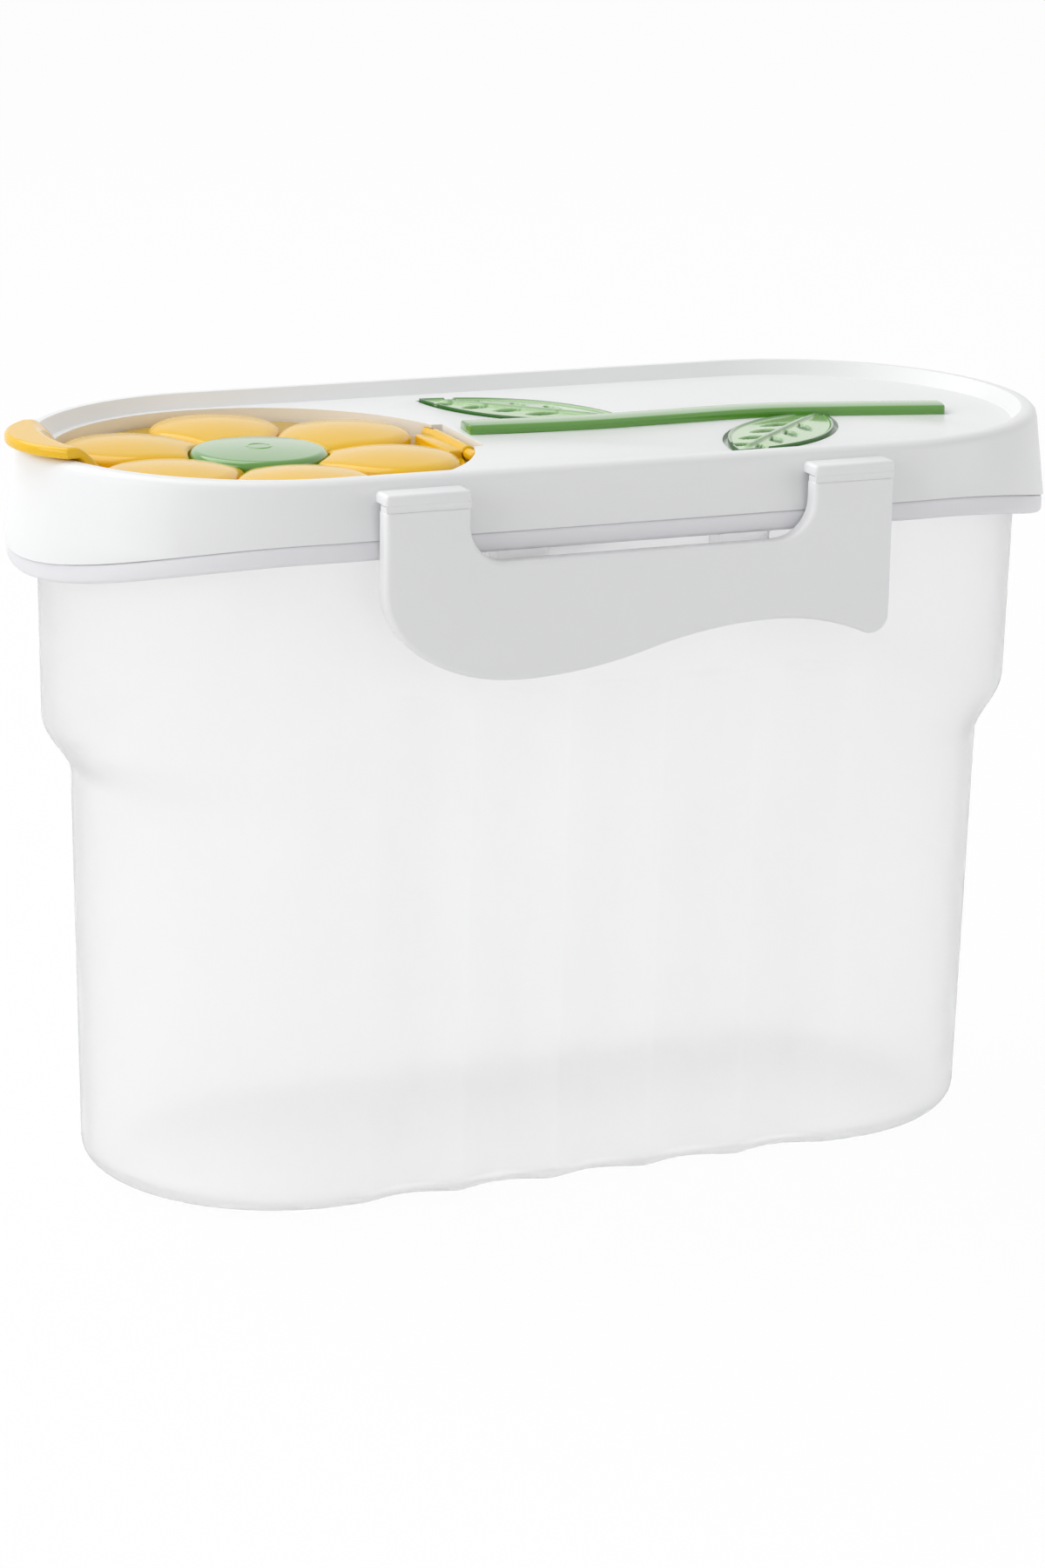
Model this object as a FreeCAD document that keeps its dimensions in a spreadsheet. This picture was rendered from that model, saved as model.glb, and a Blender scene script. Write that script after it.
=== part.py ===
"""Oval food storage container: a tub, a clip-on lid with two latches, and a flower-shaped pour flap.

Millimetres. X runs along the length with the flap's lifting tab at -X, -Y is the front,
Z is up, and the origin is the centre of the tub's base.
"""
import FreeCAD, Part
import math
import os

import Sketcher

Vec = FreeCAD.Vector
UP = Vec(0, 0, 1)
ALONG_Y = Vec(0, 1, 0)

# Driving dimensions: alias, value in millimetres (or degrees, or a count), meaning
SIZES = [
    ("overcut", 1.0, "reach of a cutting block past the face that it opens"),
    # tub
    ("tub_wall", 1.6, "wall of the tub"),
    ("tub_floor", 2.0, "floor of the tub"),
    ("base_draw", 14.5, "tub shorter at the base than at the mouth"),
    ("base_side_draw", 8.3, "tub narrower at the base than at the mouth"),
    ("base_round", 3.5, "rounding of the base edge"),
    ("waist_draw", 12.0, "tub shorter below the shoulder than at the mouth"),
    ("waist_height", 74.3, "height of the shoulder's foot"),
    ("shoulder_rise", 11.5, "height of the shoulder"),
    ("shoulder_draw", 1.1, "tub shorter above the shoulder than at the mouth"),
    ("mouth_inset", 5.8, "tub's mouth inside the lid's edge at each end"),
    ("mouth_side_inset", 5.55, "tub's mouth inside the lid's edge at each side"),
    ("mouth_drop", 10.5, "tub's sealing edge below the rim"),
    ("flute_count", 5, "hollow flutes on each long side"),
    ("flute_pitch", 18.7, "spacing of the flutes"),
    ("flute_foot_width", 12.6, "width of a flute at the base"),
    ("flute_foot_depth", 2.0, "depth of a flute at the base"),
    ("flute_top_width", 10.0, "width of a flute at its top"),
    ("flute_top_depth", 0.8, "depth of a flute at its top"),
    ("flute_height", 96.0, "height of the flutes' top"),
    ("flange_drop", 10.9, "flange's top below the rim along the long sides"),
    ("flange_depth", 3.6, "depth of the flange band"),
    ("flange_inset", 0.5, "flange edge inside the skirt's foot at the ends"),
    ("lug_offset", 21.5, "lug centre from the middle of the long side"),
    ("lug_width", 10.0, "width of a lug"),
    ("lug_depth", 3.8, "depth of a lug below the flange"),
    # lid
    ("lid_length", 201.5, "lid outside length at the lowest point of its skirt"),
    ("lid_width", 92.0, "lid outside width at the same level"),
    ("rim_height", 136.9, "height of the lid's rim"),
    ("rim_taper", 2.4, "inward lean of the skirt at the rim, each side"),
    ("rim_round", 1.8, "rounding of the rim's outer edge"),
    ("rim_lip", 1.0, "width of the rim's flat top"),
    ("skirt_wall", 1.8, "wall of the skirt"),
    ("skirt_gap", 0.2, "gap between skirt and flange"),
    ("end_droop", 8.0, "drop of skirt and flange at the two ends"),
    ("droop_start", 58.0, "distance from the middle where the drop begins"),
    ("deck_drop", 2.7, "deck below the rim"),
    ("deck_slope", 1.7, "width of the slope from rim to deck"),
    ("deck_thick", 2.0, "thickness of the deck"),
    ("tray_drop", 3.6, "flap tray's floor below the deck"),
    ("tray_floor", 1.6, "thickness of the tray's floor"),
    ("plug_wall", 1.6, "wall of the ring that enters the tub"),
    ("plug_gap", 0.5, "gap between that ring and the tub"),
    ("plug_depth", 6.7, "depth of that ring below the tray"),
    ("gasket_width", 3.2, "width of the seal"),
    ("gasket_gap", 0.1, "gap between the seal and the plug ring"),
    # latches
    ("latch_half", 49.0, "half width of a latch"),
    ("latch_thick", 3.2, "thickness of a latch"),
    ("latch_gap", 0.6, "gap between latch and flange"),
    ("latch_arm", 16.0, "width of a latch arm"),
    ("latch_round", 1.1, "rounding of the latch's front edges"),
    ("sill_drop", 15.3, "latch bar's top edge below the rim"),
    ("window_round", 7.0, "rounding of the window's lower corners"),
    ("latch_drop", 36.8, "lowest point of the latch's grip below the rim"),
    ("latch_wave", 7.1, "rise of the grip's wavy edge"),
    ("grip_trough", -23.0, "place of the grip's lowest point along the length"),
    ("grip_crest", 26.0, "place of the wave's crest along the length"),
    ("grip_squash", 0.673, "height of the grip's big corner as a share of its width"),
    ("fall_round", 45.0, "curvature of the edge beyond the crest"),
    ("heel_round", 3.4, "rounding of the grip's small corner"),
    ("hook_reach", 3.2, "reach of a latch hook under its lug"),
    ("hook_thick", 2.5, "thickness of a latch hook"),
    ("hook_gap", 0.2, "gap between hook and lug"),
    ("web_height", 1.2, "height of the living hinge"),
    ("web_thick", 0.6, "thickness of the living hinge"),
    ("web_drop", 4.6, "living hinge's middle below the rim"),
    ("stub_height", 1.9, "height of the hinge ledge on the lid"),
    # pour flap
    ("petal_margin", 0.8, "petal tips inside the plate's edge"),
    ("petal_count", 6, "petals"),
    ("petal_tail", 2.0, "petal's point behind the flower's middle"),
    ("petal_round", 11.2, "rounding of a petal's outer end"),
    ("petal_dome", 55.0, "curvature of a petal's top"),
    ("petal_rise", 3.1, "petal top above the flap plate"),
    ("flap_gap", 0.3, "gap between flap and tray"),
    ("flap_plate", 1.2, "thickness of the flap plate"),
    ("plate_margin", 1.7, "flap plate inside the deck's edge"),
    ("mouth_margin", 7.4, "pour mouth inside the plate's edge"),
    ("mouth_gap", 0.6, "gap between the flap's plug and the mouth"),
    ("mouth_plug", 4.2, "depth of the flap's plug"),
    ("button_radius", 12.5, "radius of the flower centre"),
    ("button_rise", 2.8, "flower centre's top above the flap plate"),
    ("button_dome", 130.0, "curvature of the flower centre's top"),
    ("button_stud", 3.0, "radius of the flower centre's stud"),
    ("button_gap", 0.15, "gap around the flower centre"),
    ("hinge_setback", 0.05, "flap hinge axis inside the plate's edge"),
    ("hinge_barrel", 1.5, "radius of the hinge barrel"),
    ("hinge_lift", 0.3, "gap under the hinge barrel"),
    ("hinge_half", 8.4, "half length of the hinge barrel"),
    ("hinge_clear", 2.1, "gap between barrel end and pocket wall"),
    ("pivot_radius", 1.1, "radius of the hinge pivots"),
    ("pivot_gap", 0.06, "running gap of the hinge pivots"),
    ("pivot_seat", 2.0, "length of a pivot in its socket"),
    ("tongue_overlap", 4.0, "hinge tongue's hold on the flap plate"),
    ("hinge_relief", 1.4, "room beside the hinge for the plate's edge to swing"),
    ("pocket_end", 2.4, "pocket wall beyond the hinge axis"),
    ("tab_half", 14.0, "half width of the lifting tab"),
    ("tab_thick", 2.0, "thickness of the lifting tab"),
    ("tab_root", 2.8, "thickness of the tab's upright root"),
    ("tab_setback", 1.2, "top bend of the tab behind its lower bend"),
    ("tab_sweep", 60.0, "angle that the tab is turned through before its sides are cut"),
    ("tab_gap", 0.4, "gap between tab and lid"),
    ("tab_reach", 9.35, "tab's tip beyond the plate's edge"),
    ("tab_round", 18.3, "rounding of the tab's tip, seen from above"),
    # stem and leaves
    ("stem_start", 4.0, "stem's near end beyond the hinge axis"),
    ("stem_margin", 20.75, "stem's far end inside the lid's edge"),
    ("stem_width", 5.8, "width of the stem"),
    ("stem_rise", 1.5, "stem top above the deck"),
    ("inlay_depth", 1.0, "depth of the inlay's seat in the deck"),
    ("inlay_gap", 0.15, "gap around the inlay"),
    ("leaf_half", 8.5, "half width of a leaf"),
    ("leaf_rise", 0.2, "leaf top above the deck"),
    ("leaf_rim", 0.8, "width of the groove around a leaf"),
    ("rib_half", 0.5, "half width of a leaf's midrib"),
    ("rib_rise", 0.5, "height of the midrib above the leaf"),
    ("rib_share", 0.9, "length of the midrib as a share of the leaf"),
    ("vein_count", 4, "engraved veins on each side of a leaf"),
    ("vein_first", 0.3, "place of the first veins as a share of the leaf"),
    ("vein_spread", 0.5, "first to last veins as a share of the leaf"),
    ("vein_offset", 1.4, "start of a vein beside the midrib"),
    ("vein_length", 6.6, "length of a vein"),
    ("vein_half", 0.9, "half width of a vein"),
    ("vein_depth", 0.5, "depth of a vein"),
    ("vein_angle", 38.0, "angle of a vein to the midrib"),
]

doc = FreeCAD.newDocument("food_container")
sheet = doc.addObject("Spreadsheet::Sheet", "sizes")
for row, (alias, value, meaning) in enumerate(SIZES, start=1):
    sheet.set(f"A{row}", meaning)
    sheet.set(f"B{row}", str(value))
    sheet.setAlias(f"B{row}", alias)
doc.recompute()


def size(alias):
    """A driving dimension as the sheet holds it."""
    return float(sheet.get(alias))


# Sizes that follow from the driving dimensions
over = size("overcut")
mouth_length = size("lid_length") - 2 * size("mouth_inset")
mouth_width = size("lid_width") - 2 * size("mouth_side_inset")
mouth_height = size("rim_height") - size("mouth_drop")
flange_height = size("rim_height") - size("flange_drop")
web_level = size("rim_height") - size("web_drop")
skirt_low = flange_height + size("skirt_gap") - size("end_droop")
deck = size("rim_height") - size("deck_drop")
tray = deck - size("tray_drop")
ceiling = tray - size("tray_floor")
plate_top = tray + size("flap_plate")
rim_inset = size("rim_taper") + size("rim_round")
deck_inset = rim_inset + size("rim_lip") + size("deck_slope")
deck_width = size("lid_width") - 2 * deck_inset
flower_x = -(size("lid_length") - size("lid_width")) / 2
flap_disc = deck_width / 2 - size("plate_margin")
mouth_radius = flap_disc - size("mouth_margin")
hinge_x = flower_x + flap_disc - size("hinge_setback")
stem_start = hinge_x + size("stem_start")
stem_end = size("lid_length") / 2 - size("stem_margin")
flange_lean = size("rim_taper") * size("end_droop") / (size("rim_height") - skirt_low)
flange_half_width = size("lid_width") / 2 - flange_lean
plug_length = mouth_length - 2 * (size("tub_wall") + size("plug_gap"))
plug_width = mouth_width - 2 * (size("tub_wall") + size("plug_gap"))
latch_back = flange_half_width + size("latch_gap")
latch_front = latch_back + size("latch_thick")
lug_foot = flange_height - size("flange_depth") - size("lug_depth")
hinge_z = tray + size("hinge_lift") + size("hinge_barrel")
thick_end = hinge_x + size("pocket_end") + size("deck_thick")
latch_top = web_level - size("web_height") / 2
ROUND_STEPS = [math.radians(a) for a in (0, 30, 60, 90)]
SHOULDER_BANDS = 8


# Document helpers

def feature(label, shape):
    """A sub-part or tool whose outline comes from a formula."""
    obj = doc.addObject("Part::Feature", label)
    obj.Shape = shape
    return obj


def bind(obj, **expressions):
    """Ties properties of an object to cells of the sheet."""
    for name, text in expressions.items():
        obj.setExpression(name, text)
    return obj


def fuse(label, shapes):
    obj = doc.addObject("Part::MultiFuse", label)
    obj.Shapes = shapes
    return obj


def common(label, shapes):
    obj = doc.addObject("Part::MultiCommon", label)
    obj.Shapes = shapes
    return obj


def cut(label, base, tool):
    obj = doc.addObject("Part::Cut", label)
    obj.Base = base
    obj.Tool = tool
    return obj


def extrusion(label, base, length):
    """Upright block over a sketch."""
    obj = doc.addObject("Part::Extrusion", label)
    obj.Base = base
    obj.DirMode = "Custom"
    obj.Dir = UP
    obj.Solid = True
    obj.setExpression("LengthFwd", length)
    return obj


def stadium(label, length, width, height):
    """Sketch of an oval with straight sides along X, bound to expressions for its size and height."""
    sketch = doc.addObject("Sketcher::SketchObject", label)
    half, r = 50.0, 40.0
    sketch.addGeometry(Part.LineSegment(Vec(-half, r, 0), Vec(half, r, 0)))
    sketch.addGeometry(Part.ArcOfCircle(Part.Circle(Vec(half, 0, 0), UP, r), -math.pi / 2, math.pi / 2))
    sketch.addGeometry(Part.LineSegment(Vec(half, -r, 0), Vec(-half, -r, 0)))
    sketch.addGeometry(Part.ArcOfCircle(Part.Circle(Vec(-half, 0, 0), UP, r), math.pi / 2, 3 * math.pi / 2))
    for first, end, second, start in ((0, 2, 1, 2), (1, 1, 2, 1), (2, 2, 3, 2), (3, 1, 0, 1)):
        sketch.addConstraint(Sketcher.Constraint("Tangent", first, end, second, start))
    sketch.addConstraint(Sketcher.Constraint("Horizontal", 0))
    sketch.addConstraint(Sketcher.Constraint("PointOnObject", 1, 3, -1))
    sketch.addConstraint(Sketcher.Constraint("Symmetric", 1, 3, 3, 3, -1, 1))
    radius = sketch.addConstraint(Sketcher.Constraint("Radius", 1, r))
    span = sketch.addConstraint(Sketcher.Constraint("DistanceX", 3, 3, 1, 3, 2 * half))
    sketch.setExpression(f"Constraints[{radius}]", f"({width}) / 2")
    sketch.setExpression(f"Constraints[{span}]", f"({length}) - ({width})")
    sketch.setExpression("Placement.Base.z", height)
    return sketch


def oval_prism(label, length, width, low, height):
    """Upright oval block from a low level, both given as expressions."""
    return extrusion(label, stadium(label + "_outline", length, width, low), height)


def loft(label, sections):
    obj = doc.addObject("Part::Loft", label)
    obj.Sections = sections
    obj.Solid = True
    obj.Ruled = True
    return obj


def box(label, low, high):
    """Block between two corners, whose six values are numbers worked out from the sheet."""
    obj = doc.addObject("Part::Box", label)
    obj.Length, obj.Width, obj.Height = [b - a for a, b in zip(low, high)]
    obj.Placement.Base = Vec(*low)
    return obj


# Outline helpers

def oval_wire(length, width, z):
    r, half = width / 2, (length - width) / 2
    return Part.Wire([
        Part.LineSegment(Vec(-half, r, z), Vec(half, r, z)).toShape(),
        Part.Arc(Vec(half, r, z), Vec(half + r, 0, z), Vec(half, -r, z)).toShape(),
        Part.LineSegment(Vec(half, -r, z), Vec(-half, -r, z)).toShape(),
        Part.Arc(Vec(-half, -r, z), Vec(-half - r, 0, z), Vec(-half, r, z)).toShape(),
    ])


def prism(wire, depth, direction=UP):
    return Part.Face(wire).extrude(direction * depth)


def lens_wire(start, end, half_width):
    """Pointed oval between two points."""
    along = (end - start).normalize()
    side = Vec(-along.y, along.x, 0) * half_width
    middle = (start + end) * 0.5
    return Part.Wire([
        Part.Arc(start, middle + side, end).toShape(),
        Part.Arc(end, middle - side, start).toShape(),
    ])


def chain(points):
    """Wire from the first point on, by straight lines to points and by arcs to (middle, end) pairs."""
    edges = []
    here = points[0]
    for step in points[1:]:
        if isinstance(step, tuple):
            edges.append(Part.Arc(here, step[0], step[1]).toShape())
            here = step[1]
        else:
            edges.append(Part.LineSegment(here, step).toShape())
            here = step
    return Part.Wire(edges)


def droop(x, level):
    """Height of the drooping edge of skirt or flange at a place along the length."""
    reach = size("lid_length") / 2 - size("droop_start")
    radius = (reach ** 2 + size("end_droop") ** 2) / (2 * size("end_droop"))
    past = max(0.0, abs(x) - size("droop_start"))
    return level - radius + math.sqrt(radius ** 2 - past ** 2)


def droop_edge(level, reach):
    """Points of the drooping edge from -X to +X, seen from the front."""
    start = size("droop_start")
    middle = (start + reach) / 2

    def at(x):
        return Vec(x, 0, droop(x, level))

    return [at(-reach), (at(-middle), at(-start)), at(start), (at(middle), at(reach))]


def side_solid(wire, half_depth):
    """Outline seen from the front, taken across the whole width."""
    solid = prism(wire, 2 * half_depth, ALONG_Y)
    solid.translate(Vec(0, -half_depth, 0))
    return solid


# Tub

def tub_length(z):
    top = size("waist_height") + size("shoulder_rise")
    if z <= size("waist_height"):
        share = z / size("waist_height")
        return mouth_length - size("base_draw") + (size("base_draw") - size("waist_draw")) * share
    if z >= top:
        share = (z - top) / (mouth_height - top)
        return mouth_length - size("shoulder_draw") * (1 - share)
    share = (1 - math.cos(math.pi * (z - size("waist_height")) / size("shoulder_rise"))) / 2
    return mouth_length - size("waist_draw") + (size("waist_draw") - size("shoulder_draw")) * share


def tub_width(z):
    return mouth_width - size("base_side_draw") * (1 - z / mouth_height)


def flute_ring(x, side, z, inset):
    """Circle that hollows a flute at a height, grown where the vessel is inset."""
    share = z / size("flute_height")
    width = size("flute_foot_width") + (size("flute_top_width") - size("flute_foot_width")) * share
    depth = size("flute_foot_depth") + (size("flute_top_depth") - size("flute_foot_depth")) * share
    radius = (width ** 2 / 4 + depth ** 2) / (2 * depth)
    centre = tub_width(z) / 2 - depth + radius
    return Part.Wire(Part.Circle(Vec(x, side * centre, z), UP, radius + inset).toShape())


def vessel(inset, floor, rounding, top, flute_top):
    """Fluted vessel inset from the tub's outside, standing on a floor with a rounded edge."""
    foot = [(floor + rounding * (1 - math.cos(a)), inset + rounding * (1 - math.sin(a))) for a in ROUND_STEPS]
    band = size("shoulder_rise") / SHOULDER_BANDS
    shoulder = [(size("waist_height") + band * i, inset) for i in range(SHOULDER_BANDS + 1)]
    levels = foot + shoulder + [(top, inset)]
    ovals = [oval_wire(tub_length(z) - 2 * d, tub_width(z) - 2 * d, z) for z, d in levels]
    body = Part.makeLoft(ovals, True, True)
    flutes = []
    first = -(size("flute_count") - 1) / 2 * size("flute_pitch")
    for side in (-1, 1):
        for i in range(int(size("flute_count"))):
            x = first + i * size("flute_pitch")
            rings = [flute_ring(x, side, z, d) for z, d in foot + [(flute_top, inset)]]
            flutes.append(Part.makeLoft(rings, True, True))
    return body.cut(Part.makeCompound(flutes))


def make_tub():
    wall = size("tub_wall")
    top, flute_top, soft = mouth_height, size("flute_height"), size("base_round")
    outside = feature("tub_outside", vessel(0, 0, soft, top, flute_top))
    hollow = vessel(wall, size("tub_floor"), soft - wall, top + wall, flute_top + wall)
    inside = feature("tub_inside", hollow)
    low = str(flange_height - size("flange_depth") - size("end_droop") - over)
    depth = "sizes.flange_depth + sizes.end_droop + 2 * sizes.overcut"
    rim = oval_prism("flange_outer", "sizes.lid_length - 2 * sizes.flange_inset",
                     str(2 * flange_half_width), low, depth)
    core = oval_prism("flange_core", "sizes.lid_length - 2 * sizes.mouth_inset - sizes.tub_wall",
                      "sizes.lid_width - 2 * sizes.mouth_side_inset - sizes.tub_wall", low, depth)
    reach = size("lid_length") / 2
    upper = droop_edge(flange_height, reach)
    lower = droop_edge(flange_height - size("flange_depth"), reach)
    right, left = upper[-1][1], upper[0]
    outline = chain(upper + [right - UP * size("flange_depth")])
    under = chain(lower)
    closing = Part.LineSegment(left - UP * size("flange_depth"), left).toShape()
    edges = outline.Edges + list(reversed(under.Edges)) + [closing]
    band = feature("flange_band", side_solid(Part.Wire(edges), reach))
    flange = common("tub_flange", [cut("flange_ring", rim, core), band])
    lugs = []
    for side in (-1, 1):
        for end in (-1, 1):
            inner = tub_width(lug_foot) / 2 - wall / 2
            y = sorted((side * inner, side * flange_half_width))
            x = end * size("lug_offset")
            half = size("lug_width") / 2
            high = flange_height - size("flange_depth") / 2
            lugs.append(box(f"tub_lug_{len(lugs)}", (x - half, y[0], lug_foot), (x + half, y[1], high)))
    shell = cut("tub_shell", outside, inside)
    return fuse("tub", [shell, flange] + lugs)


# Lid

def lid_section(label, inset, height):
    return stadium(label, f"sizes.lid_length - 2 * ({inset})", f"sizes.lid_width - 2 * ({inset})", height)


def skirt_inset(z):
    """Lean of the skirt at a height."""
    return size("rim_taper") * (z - skirt_low) / (size("rim_height") - skirt_low)


def skirt_solid(label, wall, low, high):
    """Leaning oval block that follows the skirt at a distance inside it, between two heights."""
    ends = []
    for name, z in (("low", low), ("high", high)):
        ends.append(lid_section(f"{label}_{name}", f"{skirt_inset(z)} + {wall}", str(z)))
    return loft(label, ends)


def disc(label, radius, low, height):
    """Upright cylinder about the flower's axis, its radius an expression."""
    obj = doc.addObject("Part::Cylinder", label)
    obj.Height = height
    obj.Placement.Base = Vec(flower_x, 0, low)
    return bind(obj, Radius=radius)


def make_lid():
    reach = size("lid_length") / 2
    rim = size("rim_height")
    r = size("rim_round")
    sections = [lid_section("rim_foot", str(skirt_inset(skirt_low - over)), str(skirt_low - over))]
    for i, a in enumerate(ROUND_STEPS):
        z = rim - r + r * math.sin(a)
        inset = skirt_inset(rim - r) + r * (1 - math.cos(a))
        sections.append(lid_section(f"rim_round_{i}", str(inset), str(z)))
    outside = loft("lid_outside", sections)
    lean = "sizes.deck_slope"
    recess = loft("lid_recess", [
        lid_section("deck_edge", f"{deck_inset}", str(deck)),
        lid_section("rim_edge", f"{deck_inset} - {lean}", "sizes.rim_height"),
        lid_section("rim_above", f"{deck_inset} - {lean}", "sizes.rim_height + sizes.overcut"),
    ])
    foot = droop_edge(flange_height + size("skirt_gap"), reach + over)
    base = skirt_low - size("end_droop")
    below = chain(foot + [Vec(reach + over, 0, base), Vec(-reach - over, 0, base), foot[0]])
    trim = feature("skirt_trim", side_solid(below, reach))
    ring_low = ceiling - size("plug_depth")
    mouth = skirt_solid("lid_mouth", "sizes.skirt_wall", skirt_low - over, ring_low)
    gap_outer = skirt_solid("lid_channel_outer", "sizes.skirt_wall", ring_low, ceiling)
    ring_depth = ceiling - ring_low
    plug = oval_prism("lid_plug", str(plug_length), str(plug_width), str(ring_low - over),
                      str(ring_depth + 2 * over))
    channel = cut("lid_channel", gap_outer, plug)
    inner = [str(plug_length - 2 * size("plug_wall")), str(plug_width - 2 * size("plug_wall"))]
    hollow = oval_prism("lid_hollow", *inner, str(ring_low - over), str(ring_depth + over))
    attic_rise = deck - size("deck_thick") - ceiling
    attic = common("lid_attic", [
        oval_prism("lid_attic_oval", *inner, str(ceiling - over), str(attic_rise + over)),
        box("lid_attic_half", (thick_end, -reach, ceiling - over), (reach, reach, deck)),
    ])
    pocket = disc("flap_tray", f"{flap_disc} + sizes.flap_gap", tray, size("rim_height") - tray)
    relief = disc("flap_tray_relief", f"{flap_disc} + sizes.flap_gap", tray, size("rim_height") - tray)
    relief.Placement.Base.x = flower_x + size("hinge_relief")
    half = size("hinge_half") + size("hinge_clear")
    hinge_pocket = box("hinge_pocket", (flower_x, -half, tray),
                       (hinge_x + size("pocket_end"), half, deck + over))
    mouth_hole = disc("pour_mouth", str(mouth_radius), ceiling - over, size("rim_height") - ceiling)
    sockets = pivot("hinge_sockets", "sizes.pivot_radius + sizes.pivot_gap", half + size("pivot_seat"))
    seats = feature("inlay_seats", inlay_seat())
    stubs = []
    for side in (-1, 1):
        for end in (-1, 1):
            x = sorted((end * size("latch_half"), end * (size("latch_half") - size("latch_arm"))))
            y = sorted((side * (deck_width / 2 + size("deck_slope")), side * latch_front))
            low = web_level + size("web_height") / 2
            high = low + size("stub_height")
            stubs.append(box(f"hinge_ledge_{len(stubs)}", (x[0], y[0], low), (x[1], y[1], high)))
    solid = fuse("lid_solid", [outside] + stubs)
    tools = fuse("lid_tools", [recess, trim, mouth, channel, hollow, attic, pocket, relief,
                               hinge_pocket, mouth_hole, sockets, seats])
    return cut("lid", solid, tools)


def make_gasket():
    """Flat oval seal between the lid's channel and the tub's edge."""
    body = doc.addObject("PartDesign::Body", "lid_gasket")
    inner = plug_width + 2 * size("gasket_gap")
    sketch = body.newObject("Sketcher::SketchObject", "gasket_outline")
    sketch.AttachmentSupport = [(plane_of(body, "XY_Plane"), "")]
    sketch.MapMode = "FlatFace"
    sketch.setExpression("AttachmentOffset.Base.z", "sizes.rim_height - sizes.mouth_drop")
    for width in (inner, inner + 2 * size("gasket_width")):
        half = (plug_length - plug_width) / 2
        for edge in oval_wire(2 * half + width, width, 0).Edges:
            curve = edge.Curve
            if isinstance(curve, Part.Line):
                sketch.addGeometry(Part.LineSegment(edge.Vertexes[0].Point, edge.Vertexes[1].Point))
            else:
                sketch.addGeometry(Part.ArcOfCircle(curve, *edge.ParameterRange))
    pad = body.newObject("PartDesign::Pad", "gasket_pad")
    pad.Profile = sketch
    pad.setExpression("Length", str(ceiling - mouth_height))
    return body


# Latches

def latch_outline():
    """Front view of a latch: two arms, a window between them and a wavy grip below, with flowing corners."""
    half = size("latch_half")
    inner = half - size("latch_arm")
    top = latch_top
    sill, r = size("rim_height") - size("sill_drop"), size("window_round")
    low, wave = size("rim_height") - size("latch_drop"), size("latch_wave")
    trough, crest = size("grip_trough"), size("grip_crest")
    heel, fall = size("heel_round"), size("fall_round")
    quarter = math.pi / 2
    # corner between the falling edge and the outer side
    tilt = math.asin((half - crest - heel) / (fall + heel))
    heel_x, heel_z = half - heel, low + wave - fall + (fall + heel) * math.cos(tilt)
    # two equal arcs from the trough up to the crest
    run = crest - trough
    sweep = (run ** 2 + wave ** 2) / (4 * wave)
    turn = math.asin(run / 2 / sweep)
    cap = low + (half + trough) * size("grip_squash")

    def line(x0, z0, x1, z1):
        return Part.LineSegment(Vec(x0, z0, 0), Vec(x1, z1, 0))

    def arc(x, z, radius, start, end):
        return Part.ArcOfCircle(Part.Circle(Vec(x, z, 0), UP, radius), start, end)

    oval = Part.Ellipse(Vec(trough, cap, 0), half + trough, cap - low)
    return [
        line(-half, top, -inner, top), line(-inner, top, -inner, sill + r),
        arc(-inner + r, sill + r, r, math.pi, 3 * quarter),
        line(-inner + r, sill, inner - r, sill),
        arc(inner - r, sill + r, r, 3 * quarter, 4 * quarter),
        line(inner, sill + r, inner, top), line(inner, top, half, top), line(half, top, half, heel_z),
        arc(heel_x, heel_z, heel, 3 * quarter - tilt, 4 * quarter),
        arc(crest, low + wave - fall, fall, quarter - tilt, quarter),
        arc(crest, low + wave - sweep, sweep, quarter, quarter + turn),
        arc(trough, low + sweep, sweep, 3 * quarter, 3 * quarter + turn),
        Part.ArcOfEllipse(oval, math.pi, 3 * quarter),
        line(-half, cap, -half, top),
    ]


def plane_of(body, role):
    return [f for f in body.Origin.OriginFeatures if f.Role == role][0]


def front_sketch(body, label, depth):
    """Sketch seen from the front, at a distance in front of the middle plane."""
    sketch = body.newObject("Sketcher::SketchObject", label)
    sketch.AttachmentSupport = [(plane_of(body, "XZ_Plane"), "")]
    sketch.MapMode = "FlatFace"
    sketch.AttachmentOffset.Base = Vec(0, 0, depth)
    return sketch


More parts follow.
